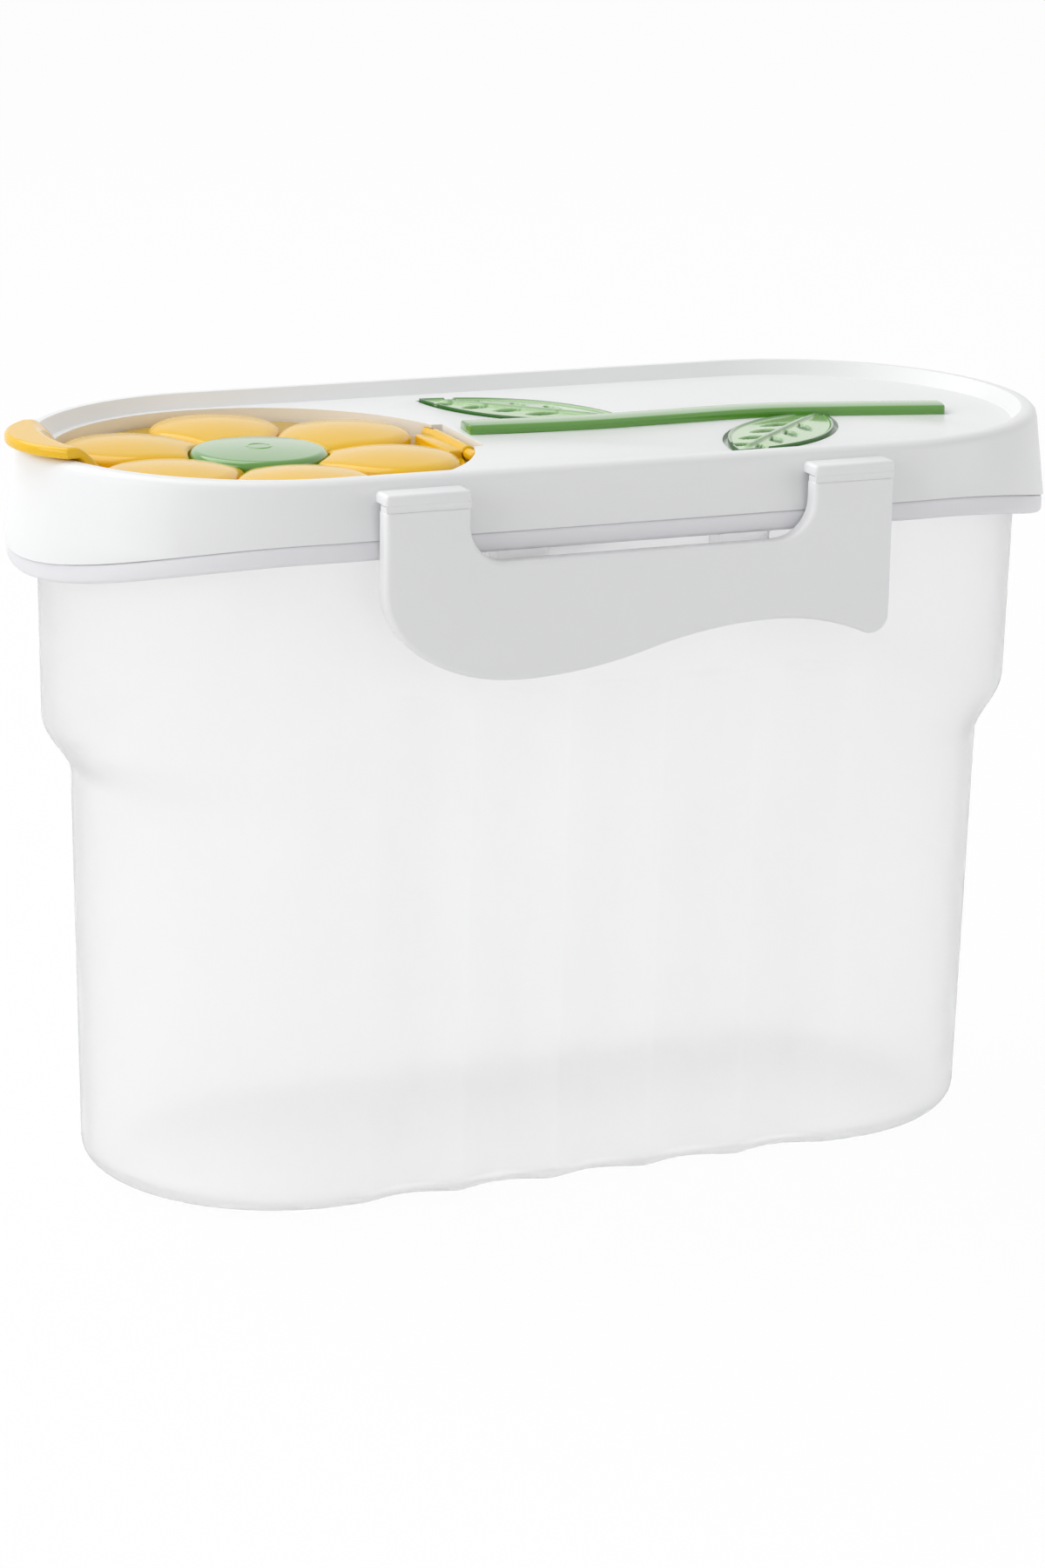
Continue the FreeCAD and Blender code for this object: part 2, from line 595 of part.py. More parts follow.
def make_latch(label, turn):
    """Latch with rounded front edges and two hooks behind; the rear one is turned half round."""
    body = doc.addObject("PartDesign::Body", label)
    outline = front_sketch(body, f"{label}_outline", latch_front)
    for curve in latch_outline():
        outline.addGeometry(curve)
    plate = body.newObject("PartDesign::Pad", f"{label}_plate")
    plate.Profile = outline
    plate.Reversed = True
    bind(plate, Length="sizes.latch_thick")
    doc.recompute()
    rim = []
    for i, edge in enumerate(plate.Shape.Edges, start=1):
        box_of = edge.BoundBox
        if abs(box_of.YMax + latch_front) < 1e-4 and box_of.ZMin < latch_top - 1e-4:
            rim.append(f"Edge{i}")
    soft = body.newObject("PartDesign::Fillet", f"{label}_edges")
    soft.Base = (plate, rim)
    bind(soft, Radius="sizes.latch_round")
    hooks = front_sketch(body, f"{label}_hook_outline", latch_back + size("latch_thick") / 2)
    high = lug_foot - size("hook_gap")
    low = high - size("hook_thick")
    for end in (-1, 1):
        left = end * size("lug_offset") - size("lug_width") / 2
        right = left + size("lug_width")
        corners = [Vec(left, low, 0), Vec(right, low, 0), Vec(right, high, 0), Vec(left, high, 0)]
        for a, b in zip(corners, corners[1:] + corners[:1]):
            hooks.addGeometry(Part.LineSegment(a, b))
    catch = body.newObject("PartDesign::Pad", f"{label}_hooks")
    catch.Profile = hooks
    catch.Reversed = True
    bind(catch, Length="sizes.latch_thick / 2 + sizes.hook_reach")
    body.Tip = catch
    body.Placement = FreeCAD.Placement(Vec(0, 0, 0), FreeCAD.Rotation(UP, turn))
    return body


def make_web(label, turn):
    """Two thin living hinges that carry a latch's arms."""
    webs = []
    for end in (-1, 1):
        inset = size("latch_round")
        outer = size("latch_half") - inset
        inner = size("latch_half") - size("latch_arm") + inset
        x = sorted((end * outer, end * inner))
        webs.append(box(f"{label}_{len(webs)}", (x[0], -latch_front, latch_top),
                        (x[1], -latch_front + size("web_thick"), latch_top + size("web_height"))))
    pair = doc.addObject("Part::Compound", label)
    pair.Links = webs
    pair.Placement = FreeCAD.Placement(Vec(0, 0, 0), FreeCAD.Rotation(UP, turn))
    return pair


def make_latches():
    made = []
    for name, turn in (("front", 0), ("rear", 180)):
        made.append(make_latch(f"{name}_latch", turn))
        made.append(make_web(f"{name}_latch_hinge", turn))
    return made


# Pour flap

def pivot(label, radius, half):
    """Rod along the flap's hinge axis."""
    rod = doc.addObject("Part::Cylinder", label)
    rod.Height = 2 * half
    start = Vec(hinge_x, -half, hinge_z)
    rod.Placement = FreeCAD.Placement(start, FreeCAD.Rotation(Vec(1, 0, 0), -90))
    bind(rod, Radius=radius)
    return rod


def petal_shape(turn):
    """Domed petal pointing away from the flower's middle."""
    r = size("petal_round")
    far = flap_disc - size("petal_margin") - r
    tail = size("petal_tail")
    slope = math.asin(r / (far + tail))
    touch = Vec(far + r * -math.sin(slope), r * math.cos(slope), plate_top)
    start = Vec(-tail, 0, plate_top)
    end = Vec(touch.x, -touch.y, plate_top)
    wire = chain([start, touch, (Vec(far + r, 0, plate_top), end), start])
    body = prism(wire, size("petal_rise") + over)
    centre = Vec(far, 0, plate_top + size("petal_rise") - size("petal_dome"))
    dome = Part.makeSphere(size("petal_dome"), centre)
    petal = body.common(dome)
    petal.rotate(Vec(0, 0, 0), UP, turn)
    petal.translate(Vec(flower_x, 0, 0))
    return petal


def tab_shape():
    """Lifting tab that climbs out of the tray and over the rim, with a round tip."""
    thick, gap = size("tab_thick"), size("tab_gap")
    root = flap_disc
    edge = deck_width / 2 - gap
    lip = edge + size("deck_slope")
    tip = flap_disc + size("tab_reach")
    under = size("rim_height") + gap
    inner = root - size("tab_root")
    step, top = deck + gap, under + thick
    profile = chain([
        Vec(inner, 0, tray), Vec(root, 0, tray), Vec(root, 0, step), Vec(edge, 0, step),
        Vec(lip, 0, under), Vec(tip, 0, under), Vec(tip, 0, top),
        Vec(lip - size("tab_setback"), 0, top), Vec(inner, 0, deck + thick / 2), Vec(inner, 0, tray),
    ])
    sweep = size("tab_sweep")
    tab = Part.Face(profile).revolve(Vec(0, 0, 0), UP, sweep)
    tab.rotate(Vec(0, 0, 0), UP, 180 - sweep / 2)
    half, r = size("tab_half"), size("tab_round")
    side = tip - r + math.sqrt(r ** 2 - half ** 2)
    plan = chain([Vec(0, -half, tray), Vec(-side, -half, tray), (Vec(-tip, 0, tray), Vec(-side, half, tray)),
                  Vec(0, half, tray), Vec(0, -half, tray)])
    tab = tab.common(prism(plan, top - tray + over))
    tab.translate(Vec(flower_x, 0, 0))
    return tab


def make_flap():
    plate = disc("flap_disc_plate", str(flap_disc), tray, size("flap_plate"))
    petals = []
    for i in range(int(size("petal_count"))):
        petals.append(feature(f"petal_{i}", petal_shape((i + 0.5) * 360 / size("petal_count"))))
    tab = feature("flap_tab", tab_shape())
    barrel_low = hinge_z - size("hinge_barrel")
    tongue_start = flower_x + flap_disc - size("tongue_overlap")
    tongue = box("flap_tongue", (tongue_start, -size("hinge_half"), barrel_low),
                 (hinge_x, size("hinge_half"), hinge_z + size("hinge_barrel") / 2))
    barrel = pivot("flap_barrel", "sizes.hinge_barrel", size("hinge_half"))
    half = size("hinge_half") + size("hinge_clear") + size("pivot_seat") - size("pivot_gap")
    rod = pivot("flap_pivots", "sizes.pivot_radius", half)
    plug_low = tray - size("mouth_plug")
    plug_height = size("mouth_plug") + size("flap_plate") / 2
    plug_radius = f"{mouth_radius} - sizes.mouth_gap"
    plug_outer = disc("flap_plug_outer", plug_radius, plug_low, plug_height)
    plug_inner = disc("flap_plug_inner", f"{plug_radius} - sizes.plug_wall", plug_low, plug_height)
    plug = cut("flap_plug", plug_outer, plug_inner)
    solid = fuse("flap_solid", [plate, tab, tongue, barrel, rod, plug] + petals)
    seat_rise = size("petal_rise") + over
    seat = disc("button_seat", "sizes.button_radius + sizes.button_gap", plate_top, seat_rise)
    hole = disc("button_hole", "sizes.button_stud + sizes.button_gap", tray - over,
                size("flap_plate") + 2 * over)
    return cut("pour_flap", solid, fuse("button_cuts", [seat, hole]))


def make_button():
    """Round middle of the flower, held in the flap by its stud."""
    top = disc("button_disc", "sizes.button_radius", plate_top, size("button_rise") + over)
    dome = doc.addObject("Part::Sphere", "button_cap")
    dome.Placement.Base = Vec(flower_x, 0, plate_top + size("button_rise") - size("button_dome"))
    bind(dome, Radius="sizes.button_dome")
    stud = disc("button_stud_rod", "sizes.button_stud", tray, size("flap_plate") + over)
    return fuse("flower_centre", [common("button_top", [top, dome]), stud])


# Stem and leaves

def spot(along, across):
    """Place on the deck, as a share of the stem's run and of the deck's half width."""
    return Vec(stem_start + (stem_end - stem_start) * along, deck_width / 2 * across, 0)


# Middle line of the stem, and the base and tip of each leaf
STEM_LINE = [spot(0, 0.061), spot(0.23, 0.013), spot(0.42, 0.02), spot(0.625, 0.028), spot(0.81, -0.056),
             spot(1, -0.169)]
LEAVES = [(spot(0.358, 0.077), spot(0.029, 0.844)), (spot(0.759, -0.041), spot(0.427, -0.78))]


def stem_wire(grow, z):
    """Outline of the stem: two flowing edges beside its middle line, with square ends."""
    half = size("stem_width") / 2 + grow
    sides = []
    for sign in (1, -1):
        points = []
        last = len(STEM_LINE) - 1
        for i, p in enumerate(STEM_LINE):
            ahead = STEM_LINE[min(i + 1, last)] - STEM_LINE[max(i - 1, 0)]
            ahead.normalize()
            end = -grow if i == 0 else grow if i == last else 0.0
            points.append(p + Vec(-ahead.y, ahead.x, 0) * (sign * half) + ahead * end + UP * z)
        curve = Part.BSplineCurve()
        curve.interpolate(points)
        sides.append((curve.toShape(), points))
    first = Part.LineSegment(sides[0][1][-1], sides[1][1][-1]).toShape()
    last = Part.LineSegment(sides[1][1][0], sides[0][1][0]).toShape()
    return Part.Wire([sides[0][0], first, sides[1][0], last])


def leaf_wires(grow, z):
    """Outlines of the leaves at a height, grown all round."""
    wires = []
    for base, tip in LEAVES:
        along = (tip - base).normalize()
        start = base - along * grow + UP * z
        end = tip + along * grow + UP * z
        wires.append(lens_wire(start, end, size("leaf_half") + grow))
    return wires


def inlay_seat():
    """Hollow in the deck that holds the stem and leaves."""
    low, depth = deck - size("inlay_depth"), size("inlay_depth") + over
    seats = [prism(w, depth) for w in leaf_wires(size("leaf_rim"), low)]
    return prism(stem_wire(size("inlay_gap"), low), depth).multiFuse(seats)


def vein_shapes():
    """Engraved veins along each leaf's midrib."""
    veins = []
    low = deck + size("leaf_rise") - size("vein_depth")
    count = int(size("vein_count"))
    for base, tip in LEAVES:
        heading = math.degrees(math.atan2(tip.y - base.y, tip.x - base.x))
        for i in range(count):
            share = size("vein_first") + size("vein_spread") * i / (count - 1)
            root = base + (tip - base) * share
            for side in (-1, 1):
                a = math.radians(heading + side * size("vein_angle"))
                out = Vec(math.cos(a), math.sin(a), 0)
                start = root + out * size("vein_offset") + UP * low
                outline = lens_wire(start, start + out * size("vein_length"), size("vein_half"))
                veins.append(prism(outline, size("vein_depth") + over))
    return veins


def make_inlay():
    low = deck - size("inlay_depth")
    stem = prism(stem_wire(0, low), size("inlay_depth") + size("stem_rise"))
    leaves = [prism(w, size("inlay_depth") + size("leaf_rise")) for w in leaf_wires(0, low)]
    ribs = []
    for base, tip in LEAVES:
        end = base + (tip - base) * size("rib_share")
        rib = lens_wire(base + UP * low, end + UP * low, size("rib_half"))
        ribs.append(prism(rib, size("inlay_depth") + size("leaf_rise") + size("rib_rise")))
    blades = leaves[0].multiFuse(leaves[1:]).cut(Part.makeCompound(vein_shapes()))
    return feature("stem_inlay", blades.multiFuse([stem] + ribs).removeSplitter())


parts = [make_tub(), make_lid(), make_gasket(), *make_latches(), make_flap(), make_button(), make_inlay()]
doc.recompute()

# Every object is sound before anything is written
for obj in doc.Objects:
    if "Invalid" in obj.State or "Error" in obj.State:
        raise RuntimeError(f"{obj.Name} failed: {obj.State}")
for part in parts:
    if part.Shape.isNull() or not part.Shape.isValid():
        raise RuntimeError(f"{part.Label} has no sound shape")

os.makedirs("parts", exist_ok=True)
for part in parts:
    box_of = part.Shape.BoundBox
    print(f"{part.Label}: {len(part.Shape.Solids)} solids, {part.Shape.Volume / 1000:.2f} cm3, "
          f"z {box_of.ZMin:.2f} to {box_of.ZMax:.2f}")
    part.Shape.exportStep(f"parts/{part.Label}.step")
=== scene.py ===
"""Looks of the oval food storage container: translucent tub, white lid, amber flower flap, green stem."""
import math

import bmesh
import bpy
import numpy as np
from mathutils import Matrix, Vector


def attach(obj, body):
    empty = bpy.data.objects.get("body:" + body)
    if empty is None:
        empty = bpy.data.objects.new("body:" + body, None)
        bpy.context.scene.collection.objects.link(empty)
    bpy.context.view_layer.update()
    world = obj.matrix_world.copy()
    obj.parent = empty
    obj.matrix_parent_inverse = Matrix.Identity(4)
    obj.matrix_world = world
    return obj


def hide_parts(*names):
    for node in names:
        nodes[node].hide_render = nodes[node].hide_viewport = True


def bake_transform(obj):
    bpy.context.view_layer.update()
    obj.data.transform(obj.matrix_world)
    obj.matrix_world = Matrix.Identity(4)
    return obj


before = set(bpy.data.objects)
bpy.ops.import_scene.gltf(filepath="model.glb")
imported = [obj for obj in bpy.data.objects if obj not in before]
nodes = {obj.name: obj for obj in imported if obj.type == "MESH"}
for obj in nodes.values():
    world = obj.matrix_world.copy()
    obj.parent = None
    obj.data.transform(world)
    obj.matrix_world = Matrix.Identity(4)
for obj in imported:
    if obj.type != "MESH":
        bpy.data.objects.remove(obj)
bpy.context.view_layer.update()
MM = 0.001
scene = bpy.context.scene
scene.view_settings.view_transform = "Standard"

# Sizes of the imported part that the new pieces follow, in millimetres
WALL = 1.6
FLOOR = 2.0
BASE_ROUND = 3.5
MOUTH_LENGTH, MOUTH_WIDTH, MOUTH_Z = 189.9, 80.9, 126.4
BASE_DRAW, WAIST_DRAW, SHOULDER_DRAW, SIDE_DRAW = 14.5, 12.0, 1.1, 8.3
WAIST_Z, SHOULDER_RISE = 74.3, 11.5
FLUTE_PITCH, FLUTE_COUNT, FLUTE_TOP = 18.7, 5, 96.0
FLUTE_FOOT, FLUTE_HEAD = 2.1, 1.5
FLANGE_LENGTH, FLANGE_WIDTH, FLANGE_Z, FLANGE_DEPTH = 200.5, 89.95, 126.0, 3.6
SEAM = 0.16
LID_LENGTH, DROOP, DROOP_START = 201.5, 8.0, 58.0
LUG_X, LUG_HALF, LUG_FOOT = 21.5, 5.0, 118.6
LATCH_FRONT, WEB_THICK, WEB_LOW, WEB_HIGH = 48.773, 0.6, 131.7, 132.9
LATCH_HALF, LATCH_ARM, LATCH_THICK, WEB_INSET = 49.0, 16.0, 3.2, 0.15
LEDGE_Y, LEDGE_Z = 46.2, 133.2
FLOWER_X = -54.75
TRAY, PLATE_TOP, PLATE_RADIUS = 130.6, 131.8, 37.4
PLUG_RADIUS, PLUG_WALL, PLUG_LOW = 29.4, 1.6, 126.4
STUD_RADIUS, STUD_GAP = 3.0, 0.15
HINGE_X, HINGE_Z, HINGE_HALF, BARREL, PIVOT, PIVOT_END = -17.4, 132.4, 8.4, 1.5, 1.1, 12.44
TONGUE_X, TONGUE_LOW, TONGUE_HIGH = -21.35, 130.9, 133.15
PETALS, PETAL_TAIL, PETAL_ROUND, PETAL_FAR = 6, 0.1, 12.1, 24.5
PETAL_RISE, PETAL_DOME, PETAL_START = 3.1, 55.0, 12.75
BUTTON_RADIUS, BUTTON_TOP, BUTTON_DOME = 12.5, 134.6, 130.0
TAB_HALF, TAB_ROUND, TAB_TIP, TAB_ROOT, TAB_BEND = 14.0, 18.3, 46.75, 32.5, 8.5
TAB_LOW, TAB_HIGH, TAB_STEP = 137.3, 139.3, 134.6
DECK, INLAY_DEPTH = 134.2, 1.0
STEM_LINE = [(-13.4, 2.4), (8.1, 0.5), (25.8, 0.8), (45.0, 1.1), (62.2, -2.2), (80.0, -6.6)]
STEM_WIDTH, STEM_RISE = 6.3, 1.8
LEAVES = [((20.0, 3.0), (-10.7, 33.0)), ((57.5, -1.6), (26.5, -30.5))]
LEAF_HALF, LEAF_RISE = 8.5, 0.2
VEIN_COUNT, VEIN_LENGTH, VEIN_ANGLE = 4, 6.6, 38

# Fine details of the new pieces, in millimetres
RECESS_IN, MOUTH_EDGE = 6.0, 0.4
RECESS_STEP = [(0.6, 0.6), (0.5, 0.2), (0.1, -0.2), (0.0, -0.6)]
FLUTE_POWER, FLUTE_FADE_LOW, FLUTE_FADE = 1.3, 1.5, 2.7
UPPER_LEVELS = [90.0, 93.0, 93.7, 94.4, 95.0, 95.6, 96.3, 97.2, 104.0, 112.0, 119.0]
LUG_BACK, LUG_INTO, LUG_EDGE = 0.5, 1.2, 0.7
LEDGE_EDGE, LID_EDGE, LATCH_EDGE = 0.7, 0.3, 0.3
STEM_EDGE, STEM_CROWN = 0.75, 0.12
STEM_NEAR, STEM_FAR = [(0.9, 0.25), (0.97, 0.18)], [(0.97, 0.2), (0.9, 0.4), (0.8, 0.5)]
# Leaf shape and its painted light: the blade is painted paler as a reflection, the rim and hollow veins
# darker as shade, the midrib part way darker
LEAF_RIM, LEAF_RIB, LEAF_SOFT, LEAF_DOME = 0.35, 0.3, 0.45, 0.25
RIM_RISE, RIB_RISE, RIB_REACH, RIB_FADE, RIB_PAINTED_SHADE = 0.3, 0.45, 0.86, 3, 0.7
VEIN_FIRST, VEIN_SPREAD, VEIN_GAP, VEIN_SHRINK = 0.3, 0.5, 1.4, 0.1
VEIN_HALF, VEIN_SOFT, VEIN_DEPTH = 1.15, 0.35, 0.5
PETAL_EDGE, PETAL_EDGE_DROP, PETAL_HEEL, PETAL_HEEL_DROP, PETAL_SINK = 2.2, 1.0, 0.8, 0.6, 0.1
TAB_TOP_EDGE, TAB_LOW_EDGE, TAB_CLEAR, TAB_RISE_START, TAB_RISE = 0.9, 0.5, 0.05, 38.0, 2.4
TONGUE_EDGE = 0.5
BUTTON_EDGE, BUTTON_GAP = 1.4, 0.03
BUTTON_MARK = [(0.5, 0), (1.85, 0), (1.95, 0.08), (2.15, 0.12), (2.35, 0.08), (2.45, 0)]
BUTTON_RINGS = [4.5, 6.5, 8.5, 10.0]
WEB_WAIST, ARM_GAP, ARM_FOOT, ARM_HEAD, ARM_EDGE = 0.12, 0.05, 0.5, 0.15, 0.2

# Looks: crease angle in degrees, scales of the plastic's noise, gloss of the green, floor, world and lamps
CREASE = 35
TONE_SCALE, GLOSS_SCALE, GRAIN_SCALE, GRAIN_DEPTH = 28, 900, 2200, 0.0001
TONE_LOW, GLOSS_LOW, GLOSS_HIGH = 0.97, 0.8, 1.2
GREEN_GLOSS = {"IOR": 1.5, "Coat_Weight": 0.8, "Coat_Roughness": 0.06}
GREEN_ROUGH, GREEN_GRAIN = 0.18, 0.04
FLOOR_HALF, FLOOR_DROP, FLOOR_SHADE, FLOOR_WHITE, WORLD_LIGHT = 4.0, 0.0002, 0.9, 0.96, 0.48
LAMPS = [
    ("left_key", (-1.15, -0.2, 0.5), (0, 0, 0.07), (0.9, 0.9), 5.2),
    ("top_soft", (-0.45, 0.5, 1.15), (0, 0, 0.07), (1.1, 1.1), 8.8),
    ("front_fill", (0.2, -1.3, 0.45), (0, 0, 0.07), (1.0, 0.8), 0.4),
    ("right_soft", (1.0, -0.75, 0.3), (0, 0, 0.1), (0.9, 0.6), 2.5),
]


def make_camera():
    """Camera at the photograph's viewing angle."""
    azimuth, elevation, roll = math.radians(-23.197), math.radians(15.548), math.radians(1.041)
    distance, target_z = 840.316, 68.8
    focal_px, centre_x, centre_y = 5109.43, 611.338, 884.574
    width_px, height_px, sensor = 1200, 1800, 36.0
    back = Vector((math.sin(azimuth) * math.cos(elevation), -math.cos(azimuth) * math.cos(elevation),
                   math.sin(elevation)))
    level = (-back).cross(Vector((0, 0, 1))).normalized()
    up = level.cross(-back)
    right = level * math.cos(roll) + up * math.sin(roll)
    top = up * math.cos(roll) - level * math.sin(roll)
    data = bpy.data.cameras.new("camera")
    data.sensor_fit = "VERTICAL"
    data.sensor_height = sensor
    data.lens = focal_px * sensor / height_px
    data.shift_x = (width_px / 2 - centre_x) / height_px
    data.shift_y = (centre_y - height_px / 2) / height_px
    data.clip_start, data.clip_end = 0.01, 20
    camera = bpy.data.objects.new("camera", data)
    place = (Vector((0, 0, target_z)) + back * distance) * MM
    camera.matrix_world = Matrix((
        (right.x, top.x, back.x, place.x), (right.y, top.y, back.y, place.y),
        (right.z, top.z, back.z, place.z), (0, 0, 0, 1)))
    scene.collection.objects.link(camera)
    scene.camera = camera


# Materials
def plastic(name, colour, roughness, grain, **sockets):
    """Moulded plastic: a fine grain in roughness and surface, with a slight random drift of colour."""
    mat = bpy.data.materials.new(name)
    mat.use_nodes = True
    tree = mat.node_tree
    shader = tree.nodes["Principled BSDF"]
    for socket, value in sockets.items():
        shader.inputs[socket.replace("_", " ")].default_value = value
    where = tree.nodes.new("ShaderNodeTexCoord").outputs["Object"]

    def noise(scale, detail):
        node = tree.nodes.new("ShaderNodeTexNoise")
        node.inputs["Scale"].default_value = scale
        node.inputs["Detail"].default_value = detail
        tree.links.new(where, node.inputs["Vector"])
        return node.outputs["Fac"]

    def spread(value, low, high):
        node = tree.nodes.new("ShaderNodeMapRange")
        node.inputs["To Min"].default_value = low
        node.inputs["To Max"].default_value = high
        tree.links.new(value, node.inputs["Value"])
        return node.outputs["Result"]

    tone_and_painted_shade = tree.nodes.new("ShaderNodeMix")
    tone_and_painted_shade.data_type = "RGBA"
    tone_and_painted_shade.inputs["A"].default_value = (*[c * TONE_LOW for c in colour], 1)
    tone_and_painted_shade.inputs["B"].default_value = (*colour, 1)
    tree.links.new(noise(TONE_SCALE, 3), tone_and_painted_shade.inputs["Factor"])
    tree.links.new(tone_and_painted_shade.outputs["Result"], shader.inputs["Base Color"])
    gloss = spread(noise(GLOSS_SCALE, 4), roughness * GLOSS_LOW, roughness * GLOSS_HIGH)
    tree.links.new(gloss, shader.inputs["Roughness"])
    bump = tree.nodes.new("ShaderNodeBump")
    bump.inputs["Strength"].default_value = grain
    bump.inputs["Distance"].default_value = GRAIN_DEPTH
    tree.links.new(noise(GRAIN_SCALE, 2), bump.inputs["Height"])
    tree.links.new(bump.outputs["Normal"], shader.inputs["Normal"])
    return mat


clear_pp = plastic("clear_pp", (0.995, 0.995, 1.0), 0.38, 0.06, Transmission_Weight=0.87, IOR=1.09,
                   Coat_Weight=0.3, Coat_Roughness=0.15)
thick_pp = plastic("thick_pp", (0.93, 0.93, 0.96), 0.4, 0.06, Transmission_Weight=0.2, IOR=1.4)
white_pp = plastic("white_pp", (0.83, 0.835, 0.84), 0.36, 0.08, IOR=1.49)
seal = plastic("seal", (0.8, 0.8, 0.81), 0.5, 0.1)
amber = plastic("amber", (1.0, 0.61, 0.01), 0.12, 0.03, Transmission_Weight=0.2, IOR=1.5,
                Specular_IOR_Level=0.35)
leaf_green = plastic("leaf_green", (0.09, 0.3, 0.02), GREEN_ROUGH, GREEN_GRAIN, **GREEN_GLOSS)


def blade(name, painted_reflection_colour, painted_shade_colour):
    """Leaf plastic with painted light: a paler blade colour as a painted reflection, mixed toward a darker
    colour as painted shade by the leaf's shade attribute.
    """
    mat = plastic(name, painted_reflection_colour, GREEN_ROUGH, GREEN_GRAIN, **GREEN_GLOSS)
    tree = mat.node_tree
    shader = tree.nodes["Principled BSDF"]
    before = shader.inputs["Base Color"].links[0].from_socket
    tone_and_painted_shade = tree.nodes.new("ShaderNodeAttribute")
    tone_and_painted_shade.attribute_name = "tone_and_painted_shade"
    mix = tree.nodes.new("ShaderNodeMix")
    mix.data_type = "RGBA"
    tree.links.new(tone_and_painted_shade.outputs["Fac"], mix.inputs["Factor"])
    tree.links.new(before, mix.inputs["A"])
    mix.inputs["B"].default_value = (*painted_shade_colour, 1)
    tree.links.new(mix.outputs["Result"], shader.inputs["Base Color"])
    return mat


# Paler green painted on the blade as a reflection; darker green painted on the rim, veins, midrib and
# underside as shade
leaf_blade = blade("leaf_blade", (0.3, 0.52, 0.2), (0.03, 0.17, 0.01))


# Mesh helpers
def piece(name, verts, faces, body, material):
    """Piece from points in millimetres, with its faces turned outward."""
    mesh = bpy.data.meshes.new(name)
    mesh.from_pydata([Vector(v) * MM for v in verts], [], faces)
    mesh.validate()
    made = bmesh.new()
    made.from_mesh(mesh)
    bmesh.ops.recalc_face_normals(made, faces=made.faces)
    made.to_mesh(mesh)
    made.free()
    return finish_piece(name, mesh, body, material)


def finish_piece(name, mesh, body, material):
    """Object with its material, slot and, where it is given, the body that it rides on."""
    mesh.materials.clear()
    mesh.materials.append(material)
    mesh.shade_smooth()
    mesh.set_sharp_from_angle(angle=math.radians(CREASE))
    obj = bpy.data.objects.new(name, mesh)
    scene.collection.objects.link(obj)
    if body:
        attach(obj, body)
    return obj


def softened(node, body, material, widths):
    """The CAD node as a new piece with its edges rounded over, group by group."""
    mesh = nodes[node].data.copy()
    made = bmesh.new()
    made.from_mesh(mesh)
    bmesh.ops.remove_doubles(made, verts=made.verts, dist=2e-6)
    bmesh.ops.dissolve_limit(made, angle_limit=math.radians(0.4), verts=made.verts, edges=made.edges)
    for width, chosen in widths:
        sharp = []
        for edge in made.edges:
            place = (edge.verts[0].co + edge.verts[1].co) / 2 / MM
            folded = len(edge.link_faces) == 2 and edge.calc_face_angle(0) > math.radians(CREASE)
            if folded and chosen(place):
                sharp.append(edge)
        bmesh.ops.bevel(made, geom=sharp, offset=width * MM, offset_type="OFFSET", segments=3,
                        profile=0.5, affect="EDGES", clamp_overlap=True)
    made.to_mesh(mesh)
    made.free()
    obj = finish_piece(node + "_shape", mesh, body, material)
    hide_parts(node)
    return obj


def oval(length, width, side_steps=220, arc_steps=90):
    """Points round an oval with straight sides along X, the same count for every size."""
    r, half = width / 2, (length - width) / 2
    points = []
    for i in range(side_steps):
        points.append((-half + 2 * half * i / side_steps, r))
    for i in range(arc_steps):
        a = math.pi / 2 - math.pi * i / arc_steps
        points.append((half + r * math.cos(a), r * math.sin(a)))
    for i in range(side_steps):
        points.append((half - 2 * half * i / side_steps, -r))
    for i in range(arc_steps):
        a = -math.pi / 2 - math.pi * i / arc_steps
        points.append((-half + r * math.cos(a), r * math.sin(a)))
    return points


def skin(loops, close_first=False, close_last=False):
    """Vertices and faces that join closed loops of equal length."""
    count = len(loops[0])
    verts = [p for loop in loops for p in loop]
    faces = []
    for k in range(len(loops) - 1):
        for i in range(count):
            j = (i + 1) % count
            faces.append((k * count + i, k * count + j, (k + 1) * count + j, (k + 1) * count + i))
    if close_first:
        faces.append(tuple(range(count)))
    if close_last:
        start = (len(loops) - 1) * count
        faces.append(tuple(range(start + count - 1, start - 1, -1)))
    return verts, faces


def smooth(t):
    """Soft step from 0 to 1."""
    t = min(1.0, max(0.0, t))
    return t * t * (3 - 2 * t)


def formed(name, top, low, material):
    """Solid between a grid of top points and a grid of points below them."""
    rows, width = len(top), len(top[0])
    under = rows * width
    verts = [p for row in top + low for p in row]
    faces = []
    for i in range(rows - 1):
        for j in range(width - 1):
            face = (i * width + j, (i + 1) * width + j, (i + 1) * width + j + 1, i * width + j + 1)
            faces += [face, tuple(under + k for k in reversed(face))]
    border = [i * width for i in range(rows)] + [(rows - 1) * width + j for j in range(1, width)]
    border += [i * width + width - 1 for i in range(rows - 2, -1, -1)] + list(range(width - 2, 0, -1))
    for k, m in zip(border, border[1:] + border[:1]):
        faces.append((m, k, under + k, under + m))
    return piece(name, verts, faces, None, material)


def rounding(inside, width, drop):
    """Fall of a rounded edge at a distance inside it."""
    t = 1 - min(1.0, max(0.0, inside / width))
    return drop * (1 - math.sqrt(1 - t * t))


# Tub
def tub_length(z):
    """Outside length at a height, with the shoulder's soft step."""
    top = WAIST_Z + SHOULDER_RISE
    if z <= WAIST_Z:
        return MOUTH_LENGTH - BASE_DRAW + (BASE_DRAW - WAIST_DRAW) * z / WAIST_Z
    if z >= top:
        return MOUTH_LENGTH - SHOULDER_DRAW * (MOUTH_Z - z) / (MOUTH_Z - top)
    share = (1 - math.cos(math.pi * (z - WAIST_Z) / SHOULDER_RISE)) / 2
    return MOUTH_LENGTH - WAIST_DRAW + (WAIST_DRAW - SHOULDER_DRAW) * share


def tub_width(z):
    """Outside width at a height."""
    return MOUTH_WIDTH - SIDE_DRAW * (1 - z / MOUTH_Z)


